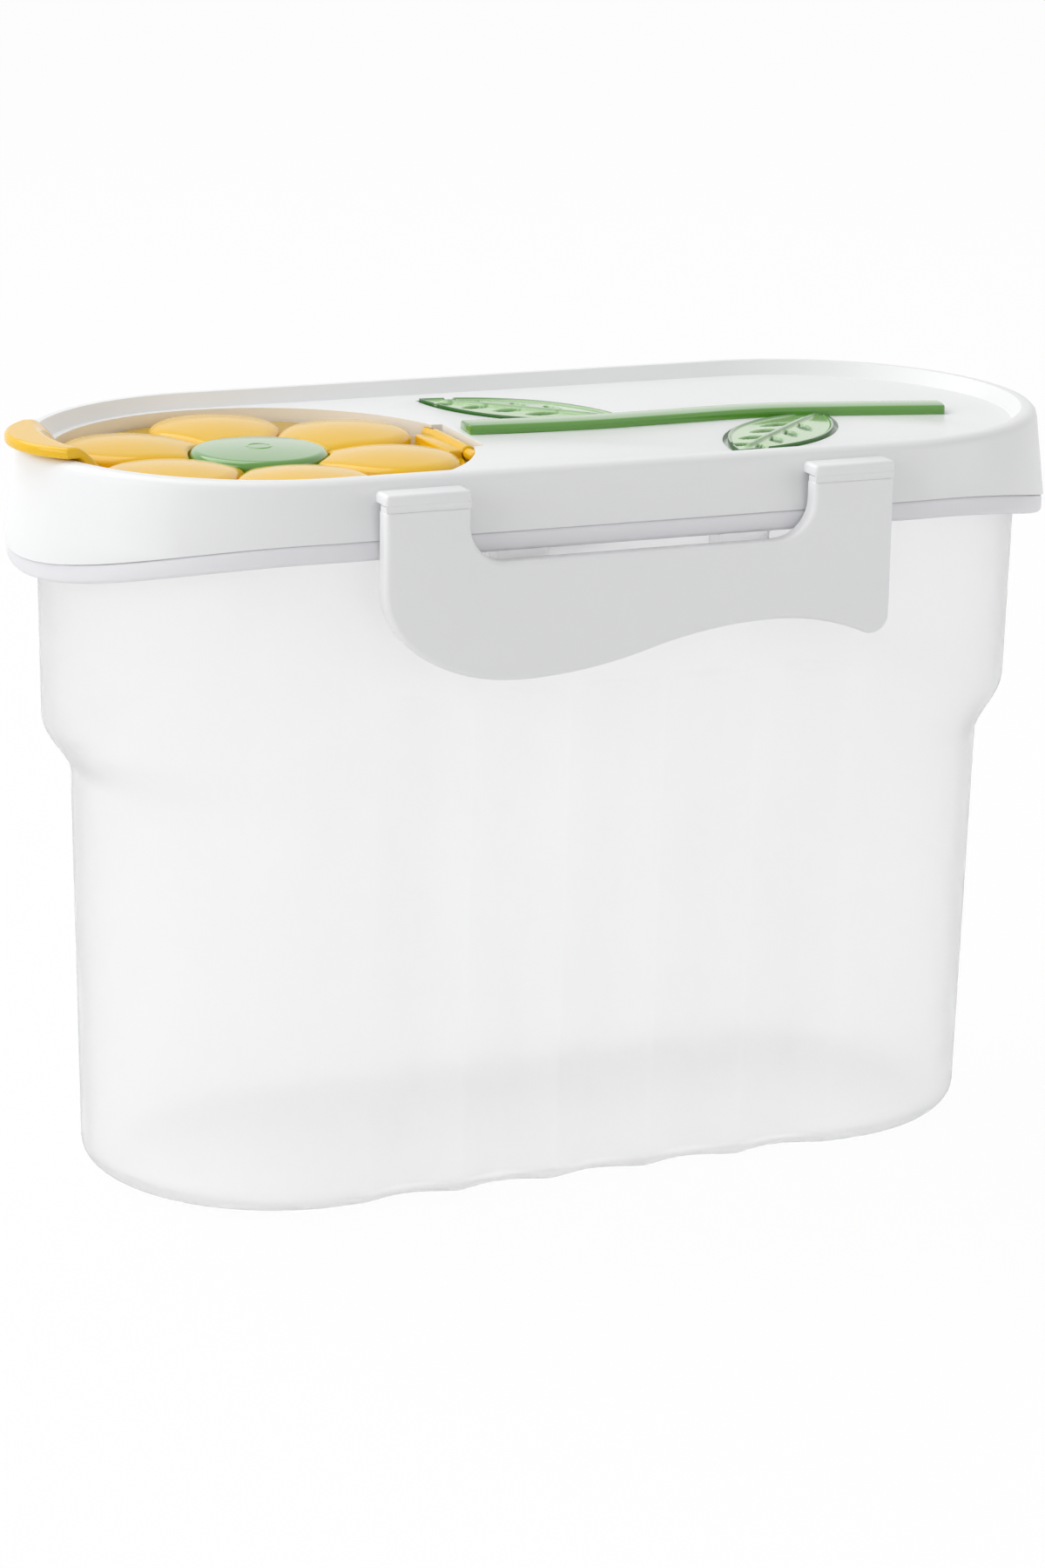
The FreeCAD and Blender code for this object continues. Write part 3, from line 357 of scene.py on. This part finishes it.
def flute(x, z):
    """Depth of the hollow flutes at a place, with soft edges and a soft step at their top."""
    depth = FLUTE_FOOT + (FLUTE_HEAD - FLUTE_FOOT) * min(1.0, z / FLUTE_TOP)
    nearest = round(x / FLUTE_PITCH) * FLUTE_PITCH
    if abs(nearest) > FLUTE_PITCH * (FLUTE_COUNT // 2) + 0.1:
        return 0.0
    t = abs(x - nearest) / (FLUTE_PITCH / 2)
    fade = 1 - smooth((z - FLUTE_TOP + FLUTE_FADE_LOW) / FLUTE_FADE)
    return depth * math.cos(math.pi / 2 * t) ** FLUTE_POWER * fade


def tub_loop(z, inset):
    """Points round the tub at a height, set in from its outside, with the flutes in the long sides."""
    loop = []
    for x, y in oval(tub_length(z) - 2 * inset, tub_width(z) - 2 * inset):
        side = math.copysign(1, y)
        loop.append((x, y - side * flute(x, z) if abs(y) > 30 else y, z))
    return loop


def make_tub():
    """Thin-walled tub with a shallow recess under its base and a rounded foot and mouth."""
    foot_steps, wall_steps, shoulder_steps, inner_steps = 8, 14, 18, 5
    levels = [(z, BASE_ROUND + RECESS_IN + d) for z, d in RECESS_STEP]
    for i in range(foot_steps + 1):
        a = math.pi / 2 * i / foot_steps
        levels.append((BASE_ROUND * (1 - math.cos(a)), BASE_ROUND * (1 - math.sin(a))))
    rising = [BASE_ROUND + (WAIST_Z - BASE_ROUND) * i / wall_steps for i in range(1, wall_steps + 1)]
    rising += [WAIST_Z + SHOULDER_RISE * i / shoulder_steps for i in range(1, shoulder_steps + 1)]
    rising += UPPER_LEVELS + [MOUTH_Z - MOUTH_EDGE]
    outside = levels + [(z, 0.0) for z in rising] + [(MOUTH_Z, MOUTH_EDGE)]
    inner_round = BASE_ROUND - WALL
    inside = [(MOUTH_Z, WALL - MOUTH_EDGE)]
    inside += [(z, WALL) for z in reversed(rising) if z > FLOOR + inner_round]
    for i in range(inner_steps + 1):
        a = math.pi / 2 * (1 - i / inner_steps)
        inside.append((FLOOR + inner_round * (1 - math.cos(a)), WALL + inner_round * (1 - math.sin(a))))
    loops = [tub_loop(z, d) for z, d in outside + inside]
    verts, faces = skin(loops, close_first=True, close_last=True)
    return piece("tub_shell", verts, faces, None, clear_pp)


def droop(x, level):
    """Height of a line that droops on an arc toward the ends of the lid."""
    reach = LID_LENGTH / 2 - DROOP_START
    radius = (reach ** 2 + DROOP ** 2) / (2 * DROOP)
    past = max(0.0, abs(x) - DROOP_START)
    return level - radius + math.sqrt(radius ** 2 - past ** 2)


def make_flange():
    """Flange under the lid's skirt: a lip with rounded edges that droops at the ends.

    Its profile gives the share of the way in to the tub's wall, and the drop below its top.
    """
    outer = oval(FLANGE_LENGTH, FLANGE_WIDTH)
    inner = oval(MOUTH_LENGTH - WALL, MOUTH_WIDTH - WALL)
    profile = [(0.95, 0.0), (0.14, 0.0), (0.07, -0.06), (0.02, -0.3), (0.0, -0.7), (0.0, -2.7), (0.03, -3.1),
               (0.09, -3.42), (0.18, -FLANGE_DEPTH), (0.95, -FLANGE_DEPTH)]
    loops = []
    for share, drop in profile:
        loop = []
        for (xo, yo), (xi, yi) in zip(outer, inner):
            z = droop(xo, FLANGE_Z + SEAM) + drop
            loop.append((xo + (xi - xo) * share, yo + (yi - yo) * share, z))
        loops.append(loop)
    loops.append(loops[0])
    verts, faces = skin(loops)
    return piece("tub_flange", verts, faces, None, thick_pp)


def block(name, low, high, width, material):
    """Block with well-rounded edges between two corners."""
    made = bmesh.new()
    bmesh.ops.create_cube(made, size=1)
    for v in made.verts:
        v.co = Vector([(low[i] + high[i]) / 2 + v.co[i] * (high[i] - low[i]) for i in range(3)]) * MM
    bmesh.ops.bevel(made, geom=made.edges[:], offset=width * MM, segments=3, profile=0.5, affect="EDGES")
    mesh = bpy.data.meshes.new(name)
    made.to_mesh(mesh)
    made.free()
    return finish_piece(name, mesh, None, material)


def make_lugs():
    """Lugs under the flange that the latches catch."""
    lugs = []
    for side in (-1, 1):
        for end in (-1, 1):
            inner = tub_width(LUG_FOOT) / 2 - WALL / 2
            y = sorted((side * inner, side * (FLANGE_WIDTH / 2 - LUG_BACK)))
            low = (end * LUG_X - LUG_HALF, y[0], LUG_FOOT)
            high = (end * LUG_X + LUG_HALF, y[1], FLANGE_Z - FLANGE_DEPTH + LUG_INTO)
            lugs.append(block(f"tub_lug_{len(lugs)}", low, high, LUG_EDGE, clear_pp))
    return lugs


def joined(name, objects):
    """One piece from several."""
    with bpy.context.temp_override(active_object=objects[0], selected_editable_objects=objects):
        bpy.ops.object.join()
    objects[0].name = name
    return objects[0]


tub = joined("tub_body", [make_tub(), make_flange()] + make_lugs())
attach(tub, "tub")
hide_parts("tub")


# Lid and the pieces on it
def on_ledge(place):
    return abs(place.y) > LEDGE_Y and place.z > LEDGE_Z


def off_ledge(place):
    return not on_ledge(place)


def anywhere(place):
    return True


softened("lid", "lid", white_pp, [(LEDGE_EDGE, on_ledge), (LID_EDGE, off_ledge)])
for latch in ("front_latch", "rear_latch"):
    softened(latch, latch, white_pp, [(LATCH_EDGE, anywhere)])
nodes["lid_gasket"].data.materials.clear()
nodes["lid_gasket"].data.materials.append(seal)


def flowing(points, per_span=14):
    """Points on a smooth line through the given ones."""
    ends = [points[0] * 2 - points[1]] + points + [points[-1] * 2 - points[-2]]
    line = []
    for a, b, c, d in zip(ends, ends[1:], ends[2:], ends[3:]):
        for i in range(per_span):
            t = i / per_span
            line.append(0.5 * ((2 * b) + (c - a) * t + (2 * a - 5 * b + 4 * c - d) * t * t
                               + (3 * b - a - 3 * c + d) * t ** 3))
    return line + [points[-1]]


def make_stem():
    """Stem with a rounded back, square at the flower and softly rounded at its far end."""
    line = flowing([Vector(p) for p in STEM_LINE])
    half, low, top = STEM_WIDTH / 2, DECK - INLAY_DEPTH, DECK + STEM_RISE
    left = []
    for i in range(7):
        a = math.pi / 2 * i / 6
        left.append((STEM_EDGE * (1 - math.cos(a)) - half, top - STEM_CROWN - STEM_EDGE * (1 - math.sin(a))))
    right = [(-s, z) for s, z in reversed(left)]
    section = [(-half, low)] + left + [(-half / 3, top), (half / 3, top)] + right + [(half, low)]
    loops = []
    for i, p in enumerate(line):
        ahead = (line[min(i + 1, len(line) - 1)] - line[max(i - 1, 0)]).normalized()
        across = Vector((-ahead.y, ahead.x))
        loops.append([(*(p + across * s), z) for s, z in section])

    def cap(loop, ahead, steps):
        """Loops that close an end with a rounded edge, each shrunk and pushed out."""
        middle = Vector([sum(c) / len(loop) for c in zip(*loop)])
        made = []
        for shrink, push in steps:
            made.append([tuple(middle + (Vector(v) - middle) * shrink + ahead * push) for v in loop])
        return made

    first, last = line[0] - line[1], line[-1] - line[-2]
    near = cap(loops[0], first.to_3d().normalized(), STEM_NEAR)
    far = cap(loops[-1], last.to_3d().normalized(), STEM_FAR)
    verts, faces = skin(near + loops + far, True, True)
    return piece("stem", verts, faces, None, leaf_green)


def leaf_height(along, across, length, half):
    """Height above the leaf's plane and share of painted shade at a place, along and across in millimetres.
    """
    edge = half * (1 - (2 * along / length - 1) ** 2) - abs(across)
    rim = 1 - smooth((edge - LEAF_RIM) / LEAF_SOFT)
    rib = 1 - smooth((abs(across) - LEAF_RIB) / LEAF_SOFT)
    rib *= 1 - smooth((along - RIB_REACH * length) / RIB_FADE)
    vein = 0.0
    lean = math.radians(VEIN_ANGLE)
    for i in range(VEIN_COUNT):
        root = length * (VEIN_FIRST + VEIN_SPREAD * i / (VEIN_COUNT - 1))
        u = (along - root) * math.cos(lean) + abs(across) * math.sin(lean) - VEIN_GAP
        v = -(along - root) * math.sin(lean) + abs(across) * math.cos(lean)
        reach = VEIN_LENGTH * (1 - VEIN_SHRINK * i)
        width = VEIN_HALF * (1 - (2 * u / reach - 1) ** 2)
        if 0 < u < reach:
            vein = max(vein, smooth((width - abs(v)) / VEIN_SOFT + 0.5))
    dome = LEAF_DOME * smooth(edge / half)
    height = LEAF_RISE + dome + RIM_RISE * rim + RIB_RISE * rib - VEIN_DEPTH * vein * (1 - rib)
    # Painted shade: full on the raised rim and in the hollow veins, part way on the midrib
    return height, max(rim, vein, RIB_PAINTED_SHADE * rib)


def make_leaf(name, base, tip):
    """Pointed leaf with a raised rim and midrib and hollow veins."""
    base, tip = Vector(base), Vector(tip)
    length = (tip - base).length
    ahead = (tip - base) / length
    across = Vector((-ahead.y, ahead.x))
    rows, columns = 190, 72
    top, painted_shades = [], []
    for i in range(rows + 1):
        along = length * (0.5 - 0.5 * math.cos(math.pi * i / rows))
        half = max(0.02, LEAF_HALF * (1 - (2 * along / length - 1) ** 2))
        row = []
        for j in range(columns + 1):
            v = half * math.sin(math.pi * (j / columns - 0.5))
            height, tone_and_painted_shade = leaf_height(along, v, length, LEAF_HALF)
            place = base + ahead * along + across * v
            row.append((place.x, place.y, DECK + height))
            painted_shades.append(tone_and_painted_shade)
        top.append(row)
    low = [[(x, y, DECK - INLAY_DEPTH) for x, y, z in row] for row in top]
    leaf = formed(name, top, low, leaf_blade)
    # The underside is painted fully dark, so the leaf's sides grade into painted shade
    tone_and_painted_shade = leaf.data.attributes.new("tone_and_painted_shade", "FLOAT", "POINT")
    tone_and_painted_shade.data.foreach_set("value", np.array(painted_shades + [1.0] * len(painted_shades), np.float32))
    return leaf


stem = make_stem()
leaves = [make_leaf(f"leaf_{i}", *ends) for i, ends in enumerate(LEAVES)]
for part in [stem] + leaves:
    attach(part, "lid")
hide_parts("stem_inlay")


# Pour flap
def turned(profile, x, turns=160):
    """Loops of a body turned about an upright line."""
    loops = []
    for r, z in profile:
        ring = [2 * math.pi * i / turns for i in range(turns)]
        loops.append([(x + r * math.cos(a), r * math.sin(a), z) for a in ring])
    return loops


def make_petal(name, turn):
    """Domed petal with a full round edge, from the flower's middle to the plate's edge."""
    slope = math.asin(PETAL_ROUND / (PETAL_FAR + PETAL_TAIL))
    touch = (PETAL_FAR + PETAL_TAIL) * math.cos(slope)
    ahead = Vector((math.cos(turn), math.sin(turn)))
    across = Vector((-ahead.y, ahead.x))
    rows, columns = 70, 48
    grid = []
    for i in range(rows + 1):
        u = 0.5 - 0.5 * math.cos(math.pi * i / rows)
        row = []
        for j in range(columns + 1):
            v = math.sin(math.pi * (j / columns - 0.5))
            k = (v * math.tan(slope)) ** 2
            root = (PETAL_TAIL * k) ** 2 - (1 + k) * (k * PETAL_TAIL ** 2 - PETAL_START ** 2)
            start = (-PETAL_TAIL * k + math.sqrt(root)) / (1 + k)
            along = start + (PETAL_FAR + PETAL_ROUND - 0.001 - start) * u
            half = (along + PETAL_TAIL) * math.tan(slope)
            if along > PETAL_FAR - PETAL_ROUND * math.sin(slope):
                half = math.sqrt(PETAL_ROUND ** 2 - (along - PETAL_FAR) ** 2)
            y = v * half
            out = math.hypot(along - PETAL_FAR, y)
            inside = (along + PETAL_TAIL) * math.sin(slope) - abs(y) * math.cos(slope)
            if (along + PETAL_TAIL) * math.cos(slope) + abs(y) * math.sin(slope) > touch:
                inside = PETAL_ROUND - out
            z = PLATE_TOP + PETAL_RISE - out ** 2 / (2 * PETAL_DOME)
            z -= rounding(inside, PETAL_EDGE, PETAL_EDGE_DROP)
            z -= rounding(math.hypot(along, y) - PETAL_START, PETAL_HEEL, PETAL_HEEL_DROP)
            place = Vector((FLOWER_X, 0)) + ahead * along + across * y
            row.append((place.x, place.y, z))
        grid.append(row)
    low = [[(x, y, PLATE_TOP - PETAL_SINK) for x, y, z in row] for row in grid]
    return formed(name, grid, low, amber)


def tab_top(reach):
    """Height of the tab's upper side at a distance from the flower's middle."""
    return PLATE_TOP + (TAB_HIGH - PLATE_TOP) * smooth((reach - TAB_ROOT) / TAB_BEND)


def tab_floor(reach):
    """Height of its lower side, which clears the tray and the lid's rim."""
    if reach < PLATE_RADIUS:
        return TRAY + TAB_CLEAR
    return TAB_STEP + (TAB_LOW - TAB_STEP) * smooth((reach - TAB_RISE_START) / TAB_RISE)


def make_tab():
    """Lifting tab that climbs out of the tray in a smooth bend, with round edges and a round tip."""
    middle = TAB_TIP - TAB_ROUND
    rows, columns = 80, 40
    top, low = [], []
    for i in range(rows + 1):
        u = math.sin(math.pi / 2 * i / rows)
        over, under = [], []
        for j in range(columns + 1):
            y = TAB_HALF * math.sin(math.pi * (j / columns - 0.5))
            near = math.sqrt(TAB_ROOT ** 2 - y * y)
            far = middle + math.sqrt(TAB_ROUND ** 2 - y * y)
            along = near + (far - near) * u
            reach = math.hypot(along, y)
            inside = min(TAB_HALF - abs(y), TAB_ROUND - math.hypot(along - middle, y))
            high = tab_top(reach) - rounding(inside, TAB_TOP_EDGE, TAB_TOP_EDGE)
            deep = tab_floor(reach) + rounding(inside, TAB_LOW_EDGE, TAB_LOW_EDGE)
            over.append((FLOWER_X - along, y, high))
            under.append((FLOWER_X - along, y, deep))
        top.append(over)
        low.append(under)
    return formed("flap_tab", top, low, amber)


def make_plate():
    """Round plate with its plug ring below."""
    hole, inner = STUD_RADIUS + STUD_GAP, PLUG_RADIUS - PLUG_WALL
    profile = [(hole, PLATE_TOP), (PLATE_RADIUS - 0.5, PLATE_TOP), (PLATE_RADIUS - 0.15, PLATE_TOP - 0.15),
               (PLATE_RADIUS, PLATE_TOP - 0.5), (PLATE_RADIUS, TRAY + 0.3), (PLATE_RADIUS - 0.3, TRAY),
               (PLUG_RADIUS, TRAY), (PLUG_RADIUS, PLUG_LOW + 0.6), (PLUG_RADIUS - 0.5, PLUG_LOW),
               (inner + 0.2, PLUG_LOW), (inner, PLUG_LOW + 0.2), (inner, TRAY), (hole, TRAY)]
    verts, faces = skin(turned(profile + profile[:1], FLOWER_X))
    return piece("flap_plate", verts, faces, None, amber)


def make_barrel():
    """Hinge barrel with its two pivots, along the flap's axis."""
    half = [(0.8, PIVOT_END), (PIVOT, PIVOT_END - 0.3), (PIVOT, HINGE_HALF), (BARREL - 0.2, HINGE_HALF),
            (BARREL, HINGE_HALF - 0.2)]
    profile = [(r, -y) for r, y in half] + [(r, y) for r, y in reversed(half)]
    ring = [2 * math.pi * i / 40 for i in range(40)]
    loops = []
    for r, y in profile:
        loops.append([(HINGE_X + r * math.cos(a), y, HINGE_Z + r * math.sin(a)) for a in ring])
    verts, faces = skin(loops, True, True)
    return piece("flap_barrel", verts, faces, None, amber)


def make_flap():
    """Flap in one piece: plate, tab, barrel, tongue and petals."""
    parts = [make_plate(), make_tab(), make_barrel()]
    low, high = (TONGUE_X, -HINGE_HALF, TONGUE_LOW), (HINGE_X, HINGE_HALF, TONGUE_HIGH)
    parts.append(block("flap_tongue", low, high, TONGUE_EDGE, amber))
    for i in range(PETALS):
        parts.append(make_petal(f"flap_petal_{i}", (i + 0.5) * 2 * math.pi / PETALS))
    flap = joined("flap_body", parts)
    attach(flap, "pour_flap")
    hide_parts("pour_flap")


def make_button():
    """Flower's middle: a low dome with a full round edge, a moulding mark on top and a stud below."""
    def dome(r):
        return BUTTON_TOP - r * r / (2 * BUTTON_DOME)

    profile = [(r, dome(r) + rise) for r, rise in BUTTON_MARK]
    profile += [(r, dome(r)) for r in BUTTON_RINGS]
    flat, seat = BUTTON_RADIUS - BUTTON_EDGE, PLATE_TOP + BUTTON_GAP
    low = dome(flat) - BUTTON_EDGE
    for i in range(9):
        a = math.pi / 2 * i / 8
        profile.append((flat + BUTTON_EDGE * math.sin(a), low + BUTTON_EDGE * math.cos(a)))
    profile += [(BUTTON_RADIUS, seat), (STUD_RADIUS, seat), (STUD_RADIUS, TRAY)]
    verts, faces = skin(turned(profile, FLOWER_X, 96), True, True)
    button = piece("flower_middle", verts, faces, "pour_flap", leaf_green)
    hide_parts("flower_centre")


make_flap()
make_button()


# Living hinges of the latches
def arm_span(end):
    """Reach in X of a latch's arm at one end, a little inside its sides."""
    return sorted((end * (LATCH_HALF - WEB_INSET), end * (LATCH_HALF - LATCH_ARM + WEB_INSET)))


def make_webs(name, side, body):
    """Living-hinge webs between the lid's ledges and a latch's arms."""
    rows = 9
    verts, faces = [], []
    for end in (-1, 1):
        left, right = arm_span(end)
        loops = []
        for i in range(rows):
            z = WEB_HIGH - (WEB_HIGH - WEB_LOW) * i / (rows - 1)
            waist = WEB_WAIST * math.sin(math.pi * i / (rows - 1))
            front, rear = side * (LATCH_FRONT - waist), side * (LATCH_FRONT - WEB_THICK + waist)
            loops.append([(left, front, z), (right, front, z), (right, rear, z), (left, rear, z)])
        v, f = skin(loops, True, True)
        faces += [tuple(k + len(verts) for k in face) for face in f]
        verts += v
    web = piece(name, verts, faces, None, white_pp)
    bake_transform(web)
    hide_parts(f"{body}_hinge")


def make_shoulders(name, side, body):
    """Upper ends of a latch's arms behind the living hinges, just under the lid's ledges."""
    blocks = []
    for end in (-1, 1):
        x = arm_span(end)
        y = sorted((side * (LATCH_FRONT - WEB_THICK - ARM_GAP), side * (LATCH_FRONT - LATCH_THICK + ARM_GAP)))
        low, high = (x[0], y[0], WEB_LOW - ARM_FOOT), (x[1], y[1], WEB_HIGH - ARM_HEAD)
        blocks.append(block(f"{name}_{len(blocks)}", low, high, ARM_EDGE, white_pp))
    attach(joined(name, blocks), body)


for side, body in ((-1, "front_latch"), (1, "rear_latch")):
    make_webs(f"{body}_web", side, body)
    make_shoulders(f"{body}_shoulders", side, body)


# Floor, backdrop colour and lamps
def white_to_view(tree, lit, strength):
    """Shows white to the camera, to reflections and through clear plastic; the light stays as it is."""
    path = tree.nodes.new("ShaderNodeLightPath")
    seen = path.outputs["Is Camera Ray"]
    for ray in ("Is Glossy Ray", "Is Transmission Ray"):
        either = tree.nodes.new("ShaderNodeMath")
        either.operation = "MAXIMUM"
        tree.links.new(seen, either.inputs[0])
        tree.links.new(path.outputs[ray], either.inputs[1])
        seen = either.outputs[0]
    share = tree.nodes.new("ShaderNodeMath")
    share.operation = "MULTIPLY"
    share.inputs[1].default_value = strength
    tree.links.new(seen, share.inputs[0])
    mix = tree.nodes.new("ShaderNodeMixShader")
    tree.links.new(share.outputs[0], mix.inputs[0])
    tree.links.new(lit, mix.inputs[1])
    return mix


def make_floor():
    """Pale floor that keeps the object's shadow."""
    mesh = bpy.data.meshes.new("floor")
    half = FLOOR_HALF
    corners = [(-half, -half, 0), (half, -half, 0), (half, half, 0), (-half, half, 0)]
    mesh.from_pydata(corners, [], [(0, 1, 2, 3)])
    mat = bpy.data.materials.new("floor")
    mat.use_nodes = True
    tree = mat.node_tree
    tree.nodes.clear()
    diffuse = tree.nodes.new("ShaderNodeBsdfDiffuse")
    diffuse.inputs["Color"].default_value = (FLOOR_SHADE, FLOOR_SHADE, FLOOR_SHADE, 1)
    glow = tree.nodes.new("ShaderNodeEmission")
    glow.inputs["Color"].default_value = (1, 1, 1, 1)
    mix = white_to_view(tree, diffuse.outputs[0], FLOOR_WHITE)
    tree.links.new(glow.outputs[0], mix.inputs[2])
    out = tree.nodes.new("ShaderNodeOutputMaterial")
    tree.links.new(mix.outputs[0], out.inputs["Surface"])
    mesh.materials.append(mat)
    floor = bpy.data.objects.new("floor", mesh)
    scene.collection.objects.link(floor)
    floor.location.z = -FLOOR_DROP


def make_world():
    """White surroundings that light the object softly."""
    world = bpy.data.worlds.new("studio")
    world.use_nodes = True
    tree = world.node_tree
    tree.nodes.clear()
    lit = tree.nodes.new("ShaderNodeBackground")
    lit.inputs["Strength"].default_value = WORLD_LIGHT
    lit.inputs["Color"].default_value = (1, 1, 1, 1)
    seen = tree.nodes.new("ShaderNodeBackground")
    seen.inputs["Color"].default_value = (1, 1, 1, 1)
    mix = white_to_view(tree, lit.outputs[0], 1.0)
    tree.links.new(seen.outputs[0], mix.inputs[2])
    out = tree.nodes.new("ShaderNodeOutputWorld")
    tree.links.new(mix.outputs[0], out.inputs["Surface"])
    scene.world = world


def lamp(name, place, aim, size, power):
    """Soft rectangular lamp, aimed at a point, in metres and watts."""
    data = bpy.data.lights.new(name, "AREA")
    data.shape = "RECTANGLE"
    data.size, data.size_y = size
    data.energy = power
    obj = bpy.data.objects.new(name, data)
    obj.location = place
    obj.rotation_euler = (Vector(aim) - Vector(place)).to_track_quat("-Z", "Y").to_euler()
    scene.collection.objects.link(obj)


make_camera()
make_floor()
make_world()
for values in LAMPS:
    lamp(*values)
